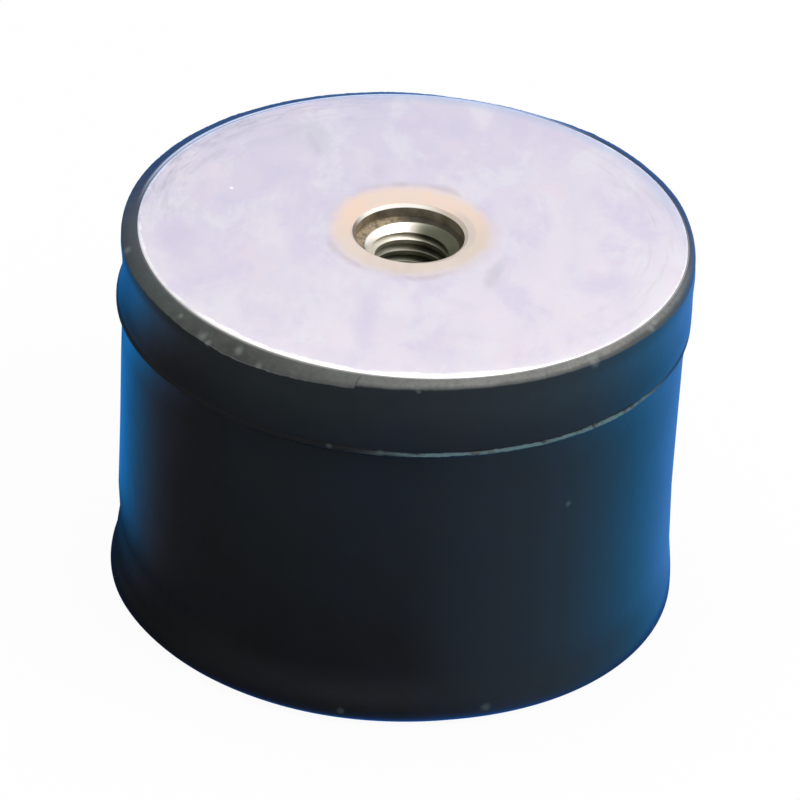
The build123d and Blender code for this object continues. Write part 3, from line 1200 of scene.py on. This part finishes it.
def bush_steel():
    """Turned steel: end face like the plate with painted shade round its mouth; bright chamfer and
    cone with painted highlights at the back left and painted shade at the right; warm hole painted
    darker with depth.
    """
    finish = Finish("turned_bush_steel")
    fine = finish.grain(1500, 3)
    coarse = finish.grain(500, 3)
    depth = HEIGHT / 2 - abs(finish.z - HEIGHT / 2)
    chamfer, inside = mouth_tones(finish, depth, coarse, fine)
    in_chamfer = depth.above(*CHAMFER_START)
    in_hole = depth.above(*HOLE_START)
    on_ledge = depth.above(*LEDGE_START) * depth.below(*CONE_START)
    on_cone = depth.above(*CONE_START) * depth.below(*THREAD_START)
    colour = finish.coats(
        plated_face(finish)[0],
        # Painted shade round the mouth at the front left
        (finish.sector(-110, 80) * finish.radius.below(*FRONT_RIM_SHADE_EDGE) * 0.7, FRONT_RIM_PAINTED_SHADE),
        # Painted shade round the mouth at the right
        (finish.sector(5, 48) * finish.radius.below(*RIGHT_RIM_SHADE_EDGE) * 0.4, RIGHT_RIM_PAINTED_SHADE),
        (in_chamfer, chamfer),
        (in_hole, inside),
    )
    metallic = 0.3 - 0.3 * in_chamfer + 0.9 * in_hole - 0.4 * on_ledge
    roughness = 0.44 - 0.08 * in_hole + 0.25 * on_ledge - 0.1 * on_cone + 0.1 * coarse
    normal = finish.relief(
        (finish.turning_lines(2600), 0.01 * MM, 0.4),
        (coarse, 0.05 * MM, 0.3),
        (fine, 0.01 * MM, 0.3),
    )
    return finish.surface(colour, roughness, normal, Metallic=metallic)


# Stage: floor, world, lamps and camera

def studio_floor():
    """White paper; gloss sees the sweep through it, and a painted contact shadow at the foot."""
    bpy.ops.object.select_all(action="DESELECT")
    bpy.ops.mesh.primitive_plane_add(size=FLOOR_SIZE, location=(0, 0, 0))
    floor = bpy.context.object
    floor.name = "studio_floor"
    graph = Finish("white_paper")
    x, y = graph.x - SKIN_SHIFT, graph.y
    distance = graph.distance(x, y)
    clear = distance.above(CONTACT_NEAR, CONTACT_LEFT) * y.above(*CONTACT_LEFT_Y)
    clear = clear.at_least(distance.above(CONTACT_NEAR, CONTACT_AHEAD))
    clear = clear.at_least(x.above(*CONTACT_RIGHT_X))
    under = distance.below(*UNDER_EDGE)
    shade_behind = x.below(*SHADE_X) * y.above(*SHADE_Y)
    clear = clear * (1 - SHADE_BEHIND * shade_behind) * (1 - under)
    least, rise, fall = UNDER_LEVELS
    under_level = least + rise * x.above(*UNDER_RISE) - fall * x.above(*UNDER_FALL)
    path = graph.node("ShaderNodeLightPath")
    paper = graph.node("ShaderNodeBsdfDiffuse", {"Color": PAPER_TONE})["BSDF"]
    white = graph.emission((1, 1, 1), 1)
    dark = graph.emission((0, 0, 0), 0)
    shade = graph.mix_shader(under, dark, graph.emission(UNDER_GLOW, under_level))
    through = graph.node("ShaderNodeBsdfTransparent")["BSDF"]
    gloss = graph.mix_shader(clear, shade, through)
    plain = graph.mix_shader(path["Is Camera Ray"] * FLOOR_GLOW, paper, white)
    graph.put_out(graph.mix_shader(path["Is Glossy Ray"], plain, gloss))
    floor.data.materials.append(graph.material)


def dimmed(colour):
    """Colour of the sweep before its level multiplies it."""
    return tuple(part / SWEEP_LEVEL for part in colour)


def studio_world():
    """White for the camera, plain light for the surfaces, and for gloss a blue sweep below."""
    world = bpy.data.worlds.new("studio")
    bpy.context.scene.world = world
    world.use_nodes = True
    graph = Graph(world.node_tree)
    x, y, z = graph.split(graph.node("ShaderNodeTexCoord")["Generated"])
    stops = [(degree, dimmed(colour)) for degree, colour in SWEEP]
    sweep = graph.by_azimuth(graph.math("ARCTAN2", y, x), stops)
    behind = abs(x).below(*BEHIND_SIDES) * y.above(*BEHIND_START)
    sweep = graph.mix(behind * z.above(*HORIZON_BAND), sweep, dimmed(HORIZON_BEHIND))
    dome = graph.mix(x.above(*DOME_MIDDLE), DOME_LEFT, DOME_RIGHT)
    dome = graph.mix(z.above(*DOME_CROWN), dome, DOME_TOP)
    low, high = graph.background(sweep, SWEEP_LEVEL), graph.background(dome, 1)
    gloss = graph.mix_shader((z - behind * SWEEP_RISE).above(*SWEEP_END), low, high)
    path = graph.node("ShaderNodeLightPath")
    fill = graph.background(FILL_TONE, FILL_LEVEL)
    lit = graph.mix_shader(path["Is Glossy Ray"], fill, gloss)
    seen = graph.mix_shader(path["Is Camera Ray"], lit, graph.background((1, 1, 1), 1))
    graph.node("ShaderNodeOutputWorld", {"Surface": seen})


def softbox(name, place, width, depth, power, colour):
    """Rectangular lamp that faces the middle of the part."""
    lamp = bpy.data.lights.new(name, "AREA")
    lamp.shape = "RECTANGLE"
    lamp.size, lamp.size_y = width, depth
    lamp.energy = power
    lamp.color = colour
    stand = bpy.data.objects.new(name, lamp)
    bpy.context.scene.collection.objects.link(stand)
    stand.location = place
    aim = Vector((0, 0, HEIGHT / 2)) - Vector(place)
    stand.rotation_euler = aim.to_track_quat("-Z", "Y").to_euler()
    stand.visible_camera = False


def camera():
    """Camera at the photograph's angle, framed for 800 by 800 pixels."""
    lens = bpy.data.cameras.new("photograph_view")
    lens.sensor_width = SENSOR
    lens.lens = FOCAL_PIXELS * SENSOR / PICTURE
    lens.shift_x, lens.shift_y = VIEW_LEFT / PICTURE, VIEW_DOWN / PICTURE
    eye = bpy.data.objects.new("photograph_view", lens)
    bpy.context.scene.collection.objects.link(eye)
    target = Vector((SKIN_SHIFT, 0, HEIGHT / 2))
    back = Vector((0, -cos(VIEW_ELEVATION), sin(VIEW_ELEVATION)))
    upright = (-back).to_track_quat("-Z", "Y").to_matrix()
    rolled = upright @ Matrix.Rotation(VIEW_ROLL, 3, "Z")
    eye.matrix_world = Matrix.Translation(target + back * VIEW_DISTANCE) @ rolled.to_4x4()
    bpy.context.scene.camera = eye


def dress(piece, material, node):
    """Gives a finished piece its material and its place in the frame."""
    piece.data.materials.clear()
    piece.data.materials.append(material)
    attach(piece, "root")
    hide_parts(node)


rubber_finish, plate_finish, bush_finish = black_rubber(), zinc_plate(), bush_steel()

dress(rubber_body(), rubber_finish, "rubber_body")

plate = upper_plate()
other_plate = turned_over(plate, "turned_plate_lower")
dress(plate, plate_finish, "upper_plate")
dress(other_plate, plate_finish, "lower_plate")

bush = upper_bush()
other_bush = turned_over(bush, "threaded_bush_lower")
dress(bush, bush_finish, "upper_bush")
dress(other_bush, bush_finish, "lower_bush")

studio_floor()
studio_world()
for name, settings in SOFTBOXES.items():
    softbox(name, *settings)
camera()

bpy.context.scene.view_settings.view_transform = "Standard"
